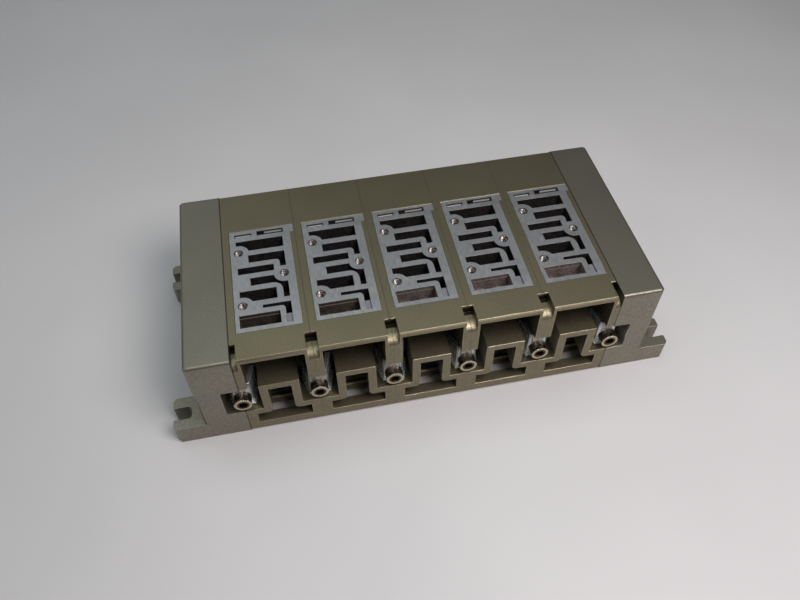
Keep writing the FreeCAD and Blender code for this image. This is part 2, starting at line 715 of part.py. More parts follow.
def end_plate(label, at_left):
    """An end plate with feet. Its lengths along the row count from the seam outwards."""
    body = new_body(label)
    whole = "end_thickness + foot_reach"

    def across(distance):
        return f"{whole} - ({distance})" if at_left else distance

    seam, outer = across("0"), across("end_thickness")
    plan = new_sketch(body, "XY_Plane", "Plan")
    left, right = (outer, seam) if at_left else (seam, outer)
    draw_box(plan, left, "0", right, "depth")
    extrude(body, "Pad", "Plate", plan, "height")
    seam_at, outer_at, top = size(seam), size(outer), size("height")
    half_up = top / 2

    def upright_edge(point):
        return abs(point.x - outer_at) < TINY and abs(point.z - half_up) < TINY

    def top_edge(point):
        return abs(point.x - seam_at) > TINY and abs(point.z - top) < TINY

    dress_edges(body, "Chamfer", "UprightEdges", "end_edge", upright_edge)
    dress_edges(body, "Fillet", "TopEdges", "end_edge", top_edge)

    feet = new_sketch(body, "XY_Plane", "Feet")
    draw_foot(feet, across, lambda d: d)
    draw_foot(feet, across, from_back)
    extrude(body, "Pad", "FeetPad", feet, "foot_thickness")

    cut_clamp_wells(body, (across,), "end_well_top")
    cut_screw_run(body, (seam,))

    # chambers run outwards from the seam face, ports back to them from the outer face
    def cut_from_seam(name, draw, cut_depth):
        sketch = new_sketch(body, "YZ_Plane", name, seam)
        draw(sketch)
        extrude(body, "Pocket", f"{name}Cut", sketch, cut_depth, flip=not at_left)

    cut_from_seam("Chambers", draw_galleries, "end_thickness - supply_port_depth + 1")
    if at_left:
        cut_from_seam("PilotChambers", draw_pilot_galleries, "end_thickness - pilot_port_depth + 1")
    else:
        cut_from_seam("GasketSeat", lambda sketch: draw_gasket(sketch, "0"), "gasket_thickness")

    ports = new_sketch(body, "YZ_Plane", "SupplyPorts", outer)
    supply_height = "height - supply_port_cover"
    heights = (("front_exhaust", "exhaust_port_height"), ("supply", supply_height),
               ("rear_exhaust", "exhaust_port_height"))
    for port, axis_height in heights:
        draw_circle(ports, f"({port}_front + {port}_back) / 2", axis_height, "supply_port_bore")
    extrude(body, "Pocket", "SupplyPortsCut", ports, "supply_port_depth", flip=at_left)
    if at_left:
        ports = new_sketch(body, "YZ_Plane", "PilotPorts", outer)
        for axis in PILOT_AXES:
            draw_circle(ports, axis, PILOT_HEIGHT, "pilot_bore")
        extrude(body, "Pocket", "PilotPortsCut", ports, "pilot_port_depth", flip=True)
    place(body, f"{seam_x(0)} - ({whole})" if at_left else seam_x("stations"), FRONT, "0")
    return body


# Small parts of a seam. A clamp is drawn as it sits in a front well.


def draw_clamp(sketch, web, flange):
    """A clamp seen from above: two slanting legs and the web that joins their front ends."""
    inner = "clamp_web_front + clamp_thickness"
    outer = f"{inner} - {web}"
    wall = f"clamp_thickness + {flange}"
    half = (
        (f"{lug_half(outer)} + {wall}", f"{outer} - {flange}"),
        (f"{lug_half('clamp_reach')} + {wall}", "clamp_reach"),
        (lug_half("clamp_reach"), "clamp_reach"),
        (lug_half(inner), inner),
    )
    left_half = [Corner(f"0 - ({x})", y) for x, y in reversed(half)]
    draw_outline(sketch, [Corner(x, y) for x, y in half] + left_half)


def seam_clamp(label, web):
    """Wedge clamp that draws two neighbouring lugs together, with a flange at its foot."""
    body = new_body(label)
    plan = new_sketch(body, "XY_Plane", "Plan")
    draw_clamp(plan, web, "0")
    extrude(body, "Pad", "Wedge", plan, "clamp_height")
    front = size(f"clamp_web_front + clamp_thickness - {web}")

    def corner_of_web(point):
        return abs(point.y - front) < TINY and abs(point.x) > TINY

    dress_edges(body, "Chamfer", "Corners", "clamp_bevel", corner_of_web)
    foot = new_sketch(body, "XY_Plane", "Foot")
    draw_clamp(foot, web, "clamp_foot_reach")
    extrude(body, "Pad", "FootPad", foot, "clamp_foot_height")
    hole = new_sketch(body, "XZ_Plane", "ScrewHole")
    axis = "screw_rise - clamp_lift"
    if web == "threaded_web":
        draw_circle(hole, "0", axis, "screw_diameter + 2 * thread_clearance")
    else:
        draw_box(hole, f"0 - {ROOM}", f"{axis} - {ROOM}", ROOM, f"{axis} + {ROOM}")
    extrude(body, "Pocket", "ScrewHoleCut", hole, "lug_front")
    return body


def clamp_screw(label):
    """Long socket head cap screw, its head's seat at y = 0 and its tip at +y."""
    body = new_body(label)
    profile = new_sketch(body, "XY_Plane", "Profile")
    shank, head = "screw_diameter / 2", "head_diameter / 2"
    tip = "depth - clamp_web_front - screw_tip_inset"
    corners = (
        ("0", "0 - head_height"),
        (head, "0 - head_height"),
        (head, "0"),
        (shank, "0"),
        (shank, tip),
        ("0", tip),
    )
    draw_outline(profile, [Corner(x, y) for x, y in corners])
    axis = next(item for item in body.Origin.OriginFeatures if item.Role == "Y_Axis")
    turned = body.newObject("PartDesign::Revolution", "Turned")
    turned.Profile = profile
    turned.ReferenceAxis = (axis, [""])
    socket = new_sketch(body, "XZ_Plane", "Socket", "head_height")
    flat, point = "socket_width / 2", "socket_width / sqrt(3)"
    hexagon = ((point, "0"), (f"({point}) / 2", flat), (f"0 - ({point}) / 2", flat),
               (f"0 - {point}", "0"), (f"0 - ({point}) / 2", f"0 - {flat}"),
               (f"({point}) / 2", f"0 - {flat}"))
    draw_outline(socket, [Corner(x, y) for x, y in hexagon])
    extrude(body, "Pocket", "SocketCut", socket, "socket_depth")
    return body


def seam_gasket(label):
    """Moulded gasket that fills its seat and leaves the galleries open."""
    body = new_body(label)
    face = new_sketch(body, "YZ_Plane", "Face")
    draw_gasket(face, "gasket_clearance")
    draw_galleries(face)
    draw_pilot_galleries(face)
    extrude(body, "Pad", "Gasket", face, "gasket_thickness")
    return body


def copies(maker, labels):
    """One piece made by a maker, and clones of it for the other labels."""
    master = maker(labels[0])
    return [master] + [clone(master, label) for label in labels[1:]]


def build_row():
    """All sub-parts of the row, left to right."""
    stations = int(size("stations"))
    seams = range(stations + 1)
    blocks = copies(station_block, [f"station_block_{number + 1}" for number in range(stations)])
    for number, block in enumerate(blocks):
        place(block, seam_x(number), FRONT, "0")

    gaskets = copies(seam_gasket, [f"seam_gasket_{seam + 1}" for seam in seams])
    for seam, gasket in enumerate(gaskets):
        place(gasket, seam_x(seam), FRONT, "0")

    screws = copies(clamp_screw, [f"clamp_screw_{seam + 1}" for seam in seams])
    for seam, screw in enumerate(screws):
        place(screw, seam_x(seam), f"{FRONT} + clamp_web_front", "clamp_floor + screw_rise")

    clamps = []
    for side, web in (("front", "clamp_thickness"), ("rear", "threaded_web")):
        labels = [f"{side}_clamp_{seam + 1}" for seam in seams]
        row = copies(lambda label: seam_clamp(label, web), labels)
        for seam, clamp in enumerate(row):
            place_in_well(clamp, seam, side == "rear")
        clamps += row

    plates = [end_plate("left_end_plate", True), end_plate("right_end_plate", False)]
    doc.recompute()
    return plates + blocks + gaskets + clamps + screws


def check(parts):
    """Stops if an object failed, a shape is broken or a cut missed its body."""
    for item in doc.Objects:
        if "Invalid" in item.State or "Error" in item.State:
            raise RuntimeError(f"{item.Label}: {item.State}")
        if item.TypeId == "PartDesign::Pocket":
            if item.Shape.Volume > item.BaseFeature.Shape.Volume - TINY:
                raise RuntimeError(f"{item.Label} of {item.getParent().Label} cuts nothing")
    for part in parts:
        if part.Shape.isNull() or not part.Shape.isValid():
            raise RuntimeError(f"{part.Label}: no valid shape")


parts = build_row()
check(parts)
os.makedirs("parts", exist_ok=True)
for part in parts:
    part.Shape.exportStep(os.path.join("parts", f"{part.Label}.step"))
    box = part.Shape.BoundBox
    print(f"{part.Label}: {len(part.Shape.Solids)} solid, {part.Shape.Volume:.0f} mm3,"
          f" x {box.XMin:.1f} to {box.XMax:.1f}, y {box.YMin:.1f} to {box.YMax:.1f},"
          f" z {box.ZMin:.1f} to {box.ZMax:.1f}")
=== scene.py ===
# %% [markdown]
# # A valve manifold base, dressed in Blender
#
# A manifold base carries a row of pneumatic valves and leads air to them. Its solids come in as a
# fixed frame, at their real size and place. This script gives them a camera, finishes, a floor and
# light, and adds the threads that the solids leave out. Lengths are in metres, in the row's own
# frame: X along the stations, Y from the clamp screws to the back, Z up.

import math

import bpy
from mathutils import Matrix, Vector


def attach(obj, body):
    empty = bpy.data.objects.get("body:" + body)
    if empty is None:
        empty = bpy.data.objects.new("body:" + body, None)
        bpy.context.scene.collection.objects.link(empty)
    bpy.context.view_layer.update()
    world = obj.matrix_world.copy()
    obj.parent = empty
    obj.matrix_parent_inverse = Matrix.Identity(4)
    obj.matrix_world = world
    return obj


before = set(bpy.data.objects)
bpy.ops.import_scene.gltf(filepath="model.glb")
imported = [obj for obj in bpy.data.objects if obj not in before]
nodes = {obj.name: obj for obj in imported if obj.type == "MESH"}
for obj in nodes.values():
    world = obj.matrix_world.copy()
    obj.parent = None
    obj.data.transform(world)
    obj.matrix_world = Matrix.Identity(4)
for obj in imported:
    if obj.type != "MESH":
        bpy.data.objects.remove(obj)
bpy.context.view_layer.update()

# %% [markdown]
# ## Sizes
#
# Finishes and threads need some places of the row again: the seams between its stations, its outer
# faces, the milled valve faces and the screws. They could be measured on the nodes' boxes, but a
# named value says what it is, so the solids' own values are repeated here.

# %% Sizes of the row
MM = 0.001
STATIONS = 5
PITCH = 37 * MM
SEAMS = [(number - STATIONS / 2) * PITCH for number in range(STATIONS + 1)]
FRONT = -54.5 * MM
BACK = 53.9 * MM
END = 113.5 * MM
FACE_TOP = 59.7 * MM
SCREW_AXIS = 25.5 * MM
print("seams at", [round(seam / MM, 1) for seam in SEAMS], "mm")

# %% [markdown]
# ## Camera
#
# A camera can be moved by hand until a render covers the photograph. Here its place, aim, roll and
# lens were found together instead, by fitting known corners of the row to where the photograph
# shows them. The roll is applied by turning the camera's own two axes about its line of sight.

# %% Place the camera
CAMERA_AT = Vector((-52.0, -244.76, 325.13)) * MM
CAMERA_AIM = Vector((-5.35, -1.79, 18.5)) * MM
CAMERA_ROLL = math.radians(-0.7024)
CAMERA_LENS = 32.51
CAMERA_NEAR = 10 * MM


def add_camera():
    """A camera at a place, aimed at a point and rolled a little about its own axis."""
    forward = (CAMERA_AIM - CAMERA_AT).normalized()
    level = forward.cross(Vector((0, 0, 1))).normalized()
    upright = level.cross(forward)
    c, s = math.cos(CAMERA_ROLL), math.sin(CAMERA_ROLL)
    right, up = c * level + s * upright, c * upright - s * level
    data = bpy.data.cameras.new("camera")
    data.lens = CAMERA_LENS
    data.clip_start = CAMERA_NEAR
    camera = bpy.data.objects.new("camera", data)
    turn = Matrix((right, up, -forward)).transposed().to_4x4()
    camera.matrix_world = Matrix.Translation(CAMERA_AT) @ turn
    bpy.context.scene.collection.objects.link(camera)
    bpy.context.scene.camera = camera
    return camera


camera = add_camera()
print("camera at", tuple(round(v, 3) for v in camera.location))

# %% [markdown]
# ## A short way to write shader graphs
#
# A finish is a graph of nodes that ends in one shader. Adding and linking each node by hand makes
# long code, so each method here adds one node and returns its output, and a finish then reads like
# a formula. Patterns read Object coordinates, because those stay on the piece when it is exported.
# A number that is the same all over a surface is typed straight into the shader's own socket.

# %% Graph: nodes and arithmetic
class Graph:
    """A material with its shader, and the arithmetic that feeds it."""

    def __init__(self, name):
        self.material = bpy.data.materials.new(name)
        self.material.use_nodes = True
        self.tree = self.material.node_tree
        self.tree.nodes.clear()
        self.shader = self.add("ShaderNodeBsdfPrincipled")
        output = self.add("ShaderNodeOutputMaterial")
        self.tree.links.new(self.shader.outputs["BSDF"], output.inputs["Surface"])

    def add(self, kind, **settings):
        """A bare node with some of its properties set."""
        node = self.tree.nodes.new(kind)
        for key, value in settings.items():
            setattr(node, key, value)
        return node

    def feed(self, socket, value):
        """Links an output to a socket, or types a constant into it."""
        if isinstance(value, bpy.types.NodeSocket):
            self.tree.links.new(value, socket)
        else:
            socket.default_value = value

    def set(self, **inputs):
        """Feeds the shader: base_color=..., roughness=... and so on."""
        for key, value in inputs.items():
            self.feed(self.shader.inputs[key.replace("_", " ").title()], value)

    def place(self):
        """The surface point in the row's frame."""
        return self.add("ShaderNodeTexCoord").outputs["Object"]

    def split(self, vector):
        """The three parts of a vector."""
        node = self.add("ShaderNodeSeparateXYZ")
        self.feed(node.inputs[0], vector)
        return node.outputs

    def join(self, x, y, z):
        """A vector of three numbers."""
        node = self.add("ShaderNodeCombineXYZ")
        for socket, value in zip(node.inputs, (x, y, z)):
            self.feed(socket, value)
        return node.outputs[0]

    def math(self, operation, a, b=0.0):
        """One arithmetic step."""
        node = self.add("ShaderNodeMath", operation=operation)
        self.feed(node.inputs[0], a)
        self.feed(node.inputs[1], b)
        return node.outputs[0]

    def length(self, a, b):
        """The length of the diagonal over two sides."""
        squares = self.math("ADD", self.math("MULTIPLY", a, a), self.math("MULTIPLY", b, b))
        return self.math("SQRT", squares)


print("shader graphs: arithmetic ready")

# %% [markdown]
# ## Patterns and blends
#
# Paint, plating and raw castings vary a little at several scales, and noise gives each scale. Its
# values crowd about one half, so spread() stretches the middle of its range before it is used.
# An image of a real surface would look as lively, but noise has no seams and no size of its own.

# %% Pattern: noise and blends
NOISE_RANGE = (0.3, 0.7)
PLAIN, FINE = 2.0, 3.0


class Pattern(Graph):
    """Noise, and blends of two colours or two numbers."""

    def noise(self, place, scale, detail=PLAIN, roughness=0.5):
        """Smooth noise, with plain or fine detail in it."""
        node = self.add("ShaderNodeTexNoise")
        self.feed(node.inputs["Vector"], place)
        self.feed(node.inputs["Scale"], scale)
        self.feed(node.inputs["Detail"], detail)
        self.feed(node.inputs["Roughness"], roughness)
        return node.outputs[0]

    def ramp(self, value, low, high, start=0.0, stop=1.0):
        """Maps low..high to start..stop with soft ends."""
        node = self.add("ShaderNodeMapRange", interpolation_type="SMOOTHSTEP")
        for socket, number in zip(node.inputs, (value, low, high, start, stop)):
            self.feed(socket, number)
        return node.outputs[0]

    def spread(self, noise, start=0.0, stop=1.0):
        """Maps the usual range of a noise to start..stop."""
        return self.ramp(noise, *NOISE_RANGE, start, stop)

    def blend(self, factor, a, b):
        """Blends two numbers."""
        node = self.add("ShaderNodeMix", data_type="FLOAT")
        for socket, number in zip((node.inputs[0], node.inputs[2], node.inputs[3]), (factor, a, b)):
            self.feed(socket, number)
        return node.outputs[0]

    def mix(self, factor, a, b):
        """Blends two colours, each an output or three numbers."""
        node = self.add("ShaderNodeMix", data_type="RGBA")
        self.feed(node.inputs[0], factor)
        for socket, colour in ((node.inputs[6], a), (node.inputs[7], b)):
            linked = isinstance(colour, bpy.types.NodeSocket)
            self.feed(socket, colour if linked else (*colour, 1.0))
        return node.outputs[2]

    def mottled(self, noise, dark, light):
        """A colour that wanders between two with a noise."""
        return self.mix(self.spread(noise), dark, light)


print("noise is spread over", NOISE_RANGE)

# %% [markdown]
# ## Masks and edges
#
# Paint ends where metal was milled, and wears off where edges are touched. Both need a mask, a
# number that is 1 on a part of the surface and 0 elsewhere. A mask could be painted by hand, but
# one that is worked out from the surface point fits all five stations at once. Sharp edges come
# from the Bevel node: wherever a small rounding would turn the normal, there is an edge.

# %% Finish: masks, edges and bumps
WORN_RADIUS = 0.45 * MM
BEVEL_SAMPLES = 6


class Finish(Pattern):
    """Masks by place, sharp edges and bumps."""

    def both(self, a, b):
        """1 where both masks are."""
        return self.math("MULTIPLY", a, b)

    def either(self, a, b):
        """1 where one of two masks is."""
        return self.math("MAXIMUM", a, b)

    def outside(self, mask):
        """1 where a mask is 0."""
        return self.math("SUBTRACT", 1.0, mask)

    def above(self, value, limit):
        """1 where a number is over a limit."""
        return self.math("GREATER_THAN", value, limit)

    def under(self, value, limit):
        """1 where a number is under a limit."""
        return self.math("LESS_THAN", value, limit)

    def within(self, value, limits):
        """1 where a number lies between two limits, given in millimetres."""
        low, high = limits
        return self.both(self.above(value, low * MM), self.under(value, high * MM))

    def inside(self, x, y, area):
        """1 in a rectangle, given in millimetres as its limits along X and along Y."""
        along, across = area
        return self.both(self.within(x, along), self.within(y, across))

    def softened(self, radius):
        """The normal as it would be with a small rounding on every edge."""
        node = self.add("ShaderNodeBevel", samples=BEVEL_SAMPLES)
        self.feed(node.inputs["Radius"], radius)
        return node.outputs[0]

    def edge(self, low, high):
        """1 along sharp edges: where a small rounding turns the normal by enough."""
        plain = self.add("ShaderNodeNewGeometry").outputs["Normal"]
        node = self.add("ShaderNodeVectorMath", operation="DOT_PRODUCT")
        self.feed(node.inputs[0], self.softened(WORN_RADIUS))
        self.feed(node.inputs[1], plain)
        return self.ramp(self.outside(node.outputs["Value"]), low, high)

    def bump(self, height, strength, distance, normal=None):
        """A bumped normal, on a softened one if that is given."""
        node = self.add("ShaderNodeBump")
        for key, value in (("Strength", strength), ("Distance", distance), ("Height", height)):
            self.feed(node.inputs[key], value)
        if normal is not None:
            self.feed(node.inputs["Normal"], normal)
        return node.outputs[0]


print("an edge is sharp where a rounding of", WORN_RADIUS / MM, "mm turns it")

# %% [markdown]
# ## Painted casting
#
# The blocks and end plates are die castings under a metallic paint with a fine sand texture. One
# grain drives colour, roughness and bump together, so that each lit speck is also a raised one, and
# a wide, faint mottling keeps large faces from looking flat. Edges are worn bright, except where
# two castings meet: there the paint is darker and holds dirt. Displaced geometry would show the
# grain from close by, but it is far finer than a pixel of the photograph.

# %% Paint for castings
# Patterns: the scale of each noise, how far the mottling shows, and the grain's bump.
GRAIN, MOTTLE, WEAR_PATCHES = 2300.0, 38.0, 160.0
GRAIN_ROUGHNESS, MOTTLE_SHARE = 0.6, 0.25
PAINT_BUMP, BUMP_DEPTH = 0.14, 0.12 * MM
PAINT_ROUNDING = 0.4 * MM
# Wear: how sharp an edge has to be, how patchy it is, where it starts beside a seam, its look.
PAINT_EDGE = (0.04, 0.2)
PATCHY = (0.35, 0.6, 0.6, 1.0)
WEAR_STARTS = (0.5 * MM, 0.9 * MM)
WORN_PAINT = (0.74, 0.63, 0.44)
# Dirt in a seam: how far it reaches, its colour and how strong it is beside an end plate.
SEAM_DIRT_REACH = (0.12 * MM, 0.45 * MM)
DIRT = (0.02, 0.018, 0.012)
DIRT_AT_END = 0.75
# The shader's own values, for whole paint and for worn paint.
PAINT_METALLIC, WORN_METALLIC = 0.9, 0.95
PAINT_ROUGHNESS, WORN_ROUGHNESS = (0.5, 0.36), 0.3


def paint(g, place, tones, seam_distance, dirt, wear=1.0):
    """Colour, metallic part, roughness and grain of the paint, given the way to a seam."""
    dark, light = tones
    grain = g.noise(place, GRAIN, PLAIN, GRAIN_ROUGHNESS)
    colour = g.mottled(grain, dark, light)
    colour = g.mix(g.spread(g.noise(place, MOTTLE, FINE), 0.0, MOTTLE_SHARE), colour, dark)
    worn = g.both(g.edge(*PAINT_EDGE), g.ramp(seam_distance, *WEAR_STARTS))
    worn = g.both(worn, g.ramp(g.noise(place, WEAR_PATCHES), *PATCHY))
    worn = g.both(worn, wear)
    colour = g.mix(worn, colour, WORN_PAINT)
    joint = g.ramp(seam_distance, *SEAM_DIRT_REACH, 1.0, 0.0)
    colour = g.mix(g.both(joint, dirt), colour, DIRT)
    metallic = g.blend(worn, PAINT_METALLIC, WORN_METALLIC)
    roughness = g.blend(worn, g.spread(grain, *PAINT_ROUGHNESS), WORN_ROUGHNESS)
    return colour, metallic, roughness, grain


print("paint wears from", WEAR_STARTS[0] / MM, "mm beside a seam")

# %% [markdown]
# ## End plates
#
# The two end plates close the row and carry its feet. Their paint is a little greyer than that of
# the blocks between them. The blocks' material would dress them too, but its masks would find a
# milled face and ports where the end plates have none, so they get one of their own. Only the
# outermost seams touch them, so the way to a seam is measured from there. A CAD node already has a
# plain material, and dress() puts the finish in its place.

# %% Paint of the end plates
END_TONES = ((0.19, 0.176, 0.142), (0.335, 0.312, 0.252))


def dress(names, material):
    """Gives CAD nodes a material in place of their plain one."""
    for name in names:
        for slot in nodes[name].material_slots:
            slot.link = "OBJECT"
            slot.material = material
    print(material.name, "on", len(names), "nodes")


def end_plate_paint():
    """Paint of the end plates."""
    g = Finish("end_plate_paint")
    place = g.place()
    x = g.math("ABSOLUTE", g.split(place)[0])
    to_seam = g.math("ABSOLUTE", g.math("SUBTRACT", x, SEAMS[-1]))
    colour, metallic, roughness, grain = paint(g, place, END_TONES, to_seam, DIRT_AT_END)
    g.set(base_color=colour, metallic=metallic, roughness=roughness,
          normal=g.bump(grain, PAINT_BUMP, BUMP_DEPTH, g.softened(PAINT_ROUNDING)))
    return g.material


dress(["left_end_plate", "right_end_plate"], end_plate_paint())

# %% [markdown]
# ## Where a point lies in its station
#
# All five blocks are alike, so their masks are written once, for one station: X from its left seam,
# Y from the front. A modulo folds the whole row onto that station. Each block could have a material
# of its own instead, but then a change would have to be made five times.

# %% Place within a station
FACE_SCREWS = ((7.8, 65.5), (29.1, 48.4), (7.8, 31.4))


def station_place(g, place):
    """Where a point lies in its own station: x from the left seam, y from the front, z."""
    x, y, z = g.split(place)
    x = g.math("SUBTRACT", x, SEAMS[0])
    return g.math("FLOORED_MODULO", x, PITCH), g.math("SUBTRACT", y, FRONT), z


def from_screw(g, x, y):
    """The way to the nearest tapped hole's axis in the valve face."""
    ways = [g.length(g.math("SUBTRACT", x, at_x * MM), g.math("SUBTRACT", y, at_y * MM))
            for at_x, at_y in FACE_SCREWS]
    return g.math("MINIMUM", ways[0], g.math("MINIMUM", ways[1], ways[2]))


print("a station has", len(FACE_SCREWS), "tapped holes in its valve face")

# %% [markdown]
# ## Milled valve face
#
# The face that a valve seals on is milled bare, and the cutter leaves fine strokes along Y. Noise
# that is squeezed in X and drawn out in Y gives such strokes. An anisotropic shader would stretch
# the highlights too, but it draws no strokes. A thin dark outline round the tapped holes and slots
# and along the face's front and left edges is painted shade, the shade at their rims.

# %% Milled silver and its painted rim shade
STROKES = (2600.0, 260.0)
SILVER = ((0.37, 0.375, 0.385), (0.495, 0.50, 0.515))
SILVER_ROUGHNESS = (0.36, 0.48)
CLOUD, CLOUD_PATCHES, CLOUD_COLOUR = 70.0, (0.35, 0.7, 0.0, 0.4), (0.33, 0.335, 0.345)
# Painted shade: a thin dark rim round the tapped holes and slots and along the face's front and
# left edges.
RIM_SHADE, RIM_SHADE_SHARE = (0.03, 0.03, 0.03), 0.8
HOLE_RIM_SHADE = 2.35 * MM
KEY_RIM_SHADE = ((6.35, 15.05), (76.35, 78.55))
SIGNAL_RIM_SHADE = ((17.65, 31.25), (76.35, 79.45))
FRONT_RIM_SHADE = 15.85 * MM
LEFT_RIM_SHADE = 3.85 * MM


def milled_silver(g, place, x, y):
    """Milled aluminium: fine strokes along Y under a soft cloud, and their roughness."""
    across, along = STROKES
    squeezed = g.join(g.math("MULTIPLY", x, across), g.math("MULTIPLY", y, along), 0.0)
    strokes = g.noise(squeezed, 1.0, FINE)
    silver = g.mottled(strokes, *SILVER)
    cloud = g.ramp(g.noise(place, CLOUD, FINE), *CLOUD_PATCHES)
    return g.mix(cloud, silver, CLOUD_COLOUR), g.spread(strokes, *SILVER_ROUGHNESS)


def with_rim_shade(g, x, y, silver):
    """The face with its dark outlines of painted shade."""
    holes = g.under(from_screw(g, x, y), HOLE_RIM_SHADE)
    slots = g.either(g.inside(x, y, KEY_RIM_SHADE), g.inside(x, y, SIGNAL_RIM_SHADE))
    border = g.either(g.under(y, FRONT_RIM_SHADE), g.under(x, LEFT_RIM_SHADE))
    dark = g.either(g.either(holes, slots), border)
    # Painted shade at the rims of holes, slots and the face's front and left edges.
    return g.mix(g.both(dark, RIM_SHADE_SHARE), silver, RIM_SHADE)


print("strokes are drawn out", STROKES[0] / STROKES[1], "times along Y")

# %% [markdown]
# ## Inside the ports
#
# The ports keep the raw skin of the casting, dark and oily, and its near black is partly painted
# shade, the shade deep in the ports. The pilot exhaust port is paler and carries painted light:
# brown at the left of the row and grey at its right, where more light reaches it. Some small
# floors in the slots are machined and paler, and a line on the vent port's back wall and a bar in
# the signal slot are painted highlights. A thin mesh over each of these could carry its colour, but
# it would stand proud of the casting, so they are told apart by their place and their depth below
# the face.

# %% Raw casting and its ledges
RAW_GRAIN = 700.0
# Partly painted shade: the ports' raw skin is painted nearly black, as the shade deep in them.
RAW_SKIN_AND_SHADE = ((0.011, 0.010, 0.010), (0.042, 0.036, 0.034))
# Painted light: the vent port is painted darker brown at the left of the row and paler grey at its
# right, where more light reaches it.
VENT_SHADED = ((0.045, 0.036, 0.029), (0.10, 0.08, 0.066))
VENT_LIT = ((0.15, 0.12, 0.11), (0.29, 0.24, 0.225))
VENT_LIT_ALONG_ROW = (-60 * MM, 20 * MM)
VENT_PORT = ((5.5, 25.2), (18.0, 25.9))
# Each machined floor or painted highlight: its area, its depth below the face, both in millimetres,
# and its colour.
FLOORS_AND_HIGHLIGHTS = (
    # Painted highlight: a lit ledge line on the vent port's back wall.
    (((5.5, 25.2), (25.4, 25.7)), (2.1, 2.6), (0.45, 0.40, 0.34)),
    (((6.8, 14.6), (76.75, 78.15)), (0.7, 0.9), (0.50, 0.50, 0.48)),
    # Painted highlight: a bright bar on the signal slot's back wall.
    (((21.5, 30.6), (79.0, 79.4)), (0.8, 2.0), (0.85, 0.84, 0.80)),
    (((27.4, 30.6), (17.7, 24.1)), (0.0, 1.5), (0.21, 0.21, 0.24)),
)


def port_skin_and_light(g, place, x, y, z):
    """Bare metal inside the ports, its near black partly painted shade, with painted light on the
    vent port and painted highlights on two ledges.
    """
    rough = g.noise(place, RAW_GRAIN, FINE)
    # Painted light: paler towards the right of the row.
    lit_part = g.ramp(g.split(place)[0], *VENT_LIT_ALONG_ROW)
    vent = g.mix(lit_part, g.mottled(rough, *VENT_SHADED), g.mottled(rough, *VENT_LIT))
    raw = g.mix(g.inside(x, y, VENT_PORT), g.mottled(rough, *RAW_SKIN_AND_SHADE), vent)
    depth = g.math("SUBTRACT", FACE_TOP, z)
    for area, depths, colour in FLOORS_AND_HIGHLIGHTS:
        raw = g.mix(g.both(g.inside(x, y, area), g.within(depth, depths)), raw, colour)
    return raw


print("ledges that catch the light:", len(FLOORS_AND_HIGHLIGHTS))

# %% [markdown]
# ## Paint of the blocks
#
# The blocks' paint is warmer than the end plates'. The joint between two stations is hardly seen,
# the one beside an end plate is a dark line, and the roll in front of each seam's notch is clean.
# The notch itself is deep, and its back is painted nearly black as painted shade deep in the
# notch; the cross rib that shows through the window gets a painted highlight along its rubbed top
# edge. All this could be painted into an image by hand, but a mask by place is a few numbers that
# can be changed one by one.

# %% Paint, dirt and wear of the blocks
BLOCK_TONES = ((0.168, 0.148, 0.097), (0.30, 0.264, 0.175))
DIRT_BETWEEN = 0.08
OUTER_BLOCKS_FROM = SEAMS[-1] - 1 * MM
ROLL = (1.0, 10.0)
ROLL_FROM = 50 * MM
FACE_STEP = ((3.2, 36.6), (15.0, 81.5))
STEP_FROM = 59 * MM
RIB = ((12.9, 13.9), (5.5, 6.4))
# Painted highlight along the cross rib's rubbed top front edge.
RIB_HIGHLIGHT = (0.85, 0.74, 0.52)
NOTCH_HALF = 2.7 * MM
NOTCH = (2.0, 10.2)
NOTCH_TOP = (58.2 * MM, 59.4 * MM)
# Painted shade: the back of each notch is painted nearly black.
PIT = (7.4 * MM, 8.4 * MM)
PIT_SHADE, PIT_SHADE_SHARE = (0.012, 0.010, 0.006), 0.93


def block_paint(g, place, x, y, z):
    """Paint of the blocks with its dirt and wear, a painted highlight on the rib and painted shade
    in the notches: colour, metallic part, roughness, grain.
    """
    to_seam = g.math("MINIMUM", x, g.math("SUBTRACT", PITCH, x))
    at_end = g.above(g.math("ABSOLUTE", g.split(place)[0]), OUTER_BLOCKS_FROM)
    roll = g.both(g.within(y, ROLL), g.above(z, ROLL_FROM))
    dirt = g.both(g.blend(at_end, DIRT_BETWEEN, DIRT_AT_END), g.outside(roll))
    step = g.both(g.inside(x, y, FACE_STEP), g.above(z, STEP_FROM))
    colour, metallic, roughness, grain = paint(
        g, place, BLOCK_TONES, to_seam, dirt, g.outside(step))
    # Painted highlight on the rib's top front edge.
    colour = g.mix(g.inside(y, z, RIB), colour, RIB_HIGHLIGHT)
    # Painted shade at the back of each notch.
    notch = g.both(g.under(to_seam, NOTCH_HALF), g.within(y, NOTCH))
    deep = g.both(notch, g.ramp(z, *NOTCH_TOP, 1.0, 0.0))
    pit_shade = g.both(deep, g.ramp(y, *PIT))
    colour = g.mix(g.both(pit_shade, PIT_SHADE_SHARE), colour, PIT_SHADE)
    return colour, metallic, roughness, grain


print("dirt in a joint:", DIRT_BETWEEN, "between blocks,", DIRT_AT_END, "at an end plate")

# %% [markdown]
# ## Station blocks
#
# One material joins the three surfaces of a block. Over the milled area, height alone tells the
# face from the ports in it, and all else is paint. Three materials on separate faces would do the
# same, but a CAD mesh is not cut or changed here, so the masks choose.

# %% Finish of the station blocks
VALVE_FACE = ((3.6, 36.6), (15.5, 80.9))
FACE_BAND = 0.05 * MM
PORTS_FROM = 7 * MM
METAL_ROUNDING, METAL_BUMP = 0.1 * MM, 0.05
MILLED_METALLIC, PORT_METALLIC, PORT_ROUGHNESS = 0.9, 0.45, 0.55


